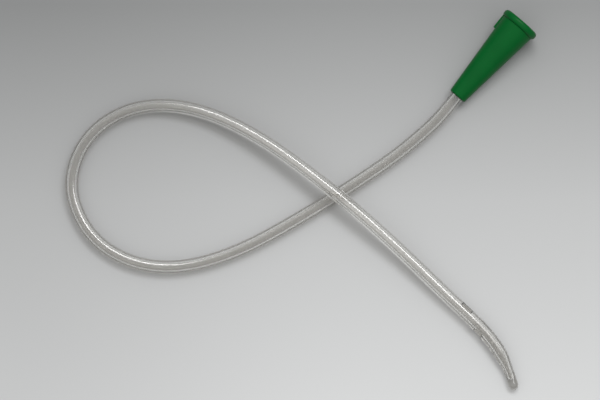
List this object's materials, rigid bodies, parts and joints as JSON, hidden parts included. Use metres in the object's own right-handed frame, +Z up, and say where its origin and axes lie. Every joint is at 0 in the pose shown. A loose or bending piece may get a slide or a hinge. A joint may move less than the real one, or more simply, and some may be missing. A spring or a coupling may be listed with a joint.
{
  "type": "urethral catheter",
  "caption": "Clear PVC intermittent urethral catheter, 14 Ch, with a bent closed coude tip, side eyes and a green flared funnel connector, lying in one loose loop",
  "frame": {"origin": "middle of the bounding box on the surface that the catheter lies on", "axes": "+Z up; +X the way that the funnel's mouth faces, level with the surface; +Y from the tip end towards the loop; the plan's longest extent is along Y"},
  "size_m": [0.1542, 0.1674, 0.0136],
  "materials": {
    "clear_pvc": "clear soft PVC, glossy along its length, satin from the eyes to the tip",
    "green_pvc": "moulded green PVC, satin gloss, slightly translucent"
  },
  "bodies": {
    "root": {"catheter_tube": "clear_pvc", "funnel_connector": "green_pvc"}
  },
  "joints": []
}
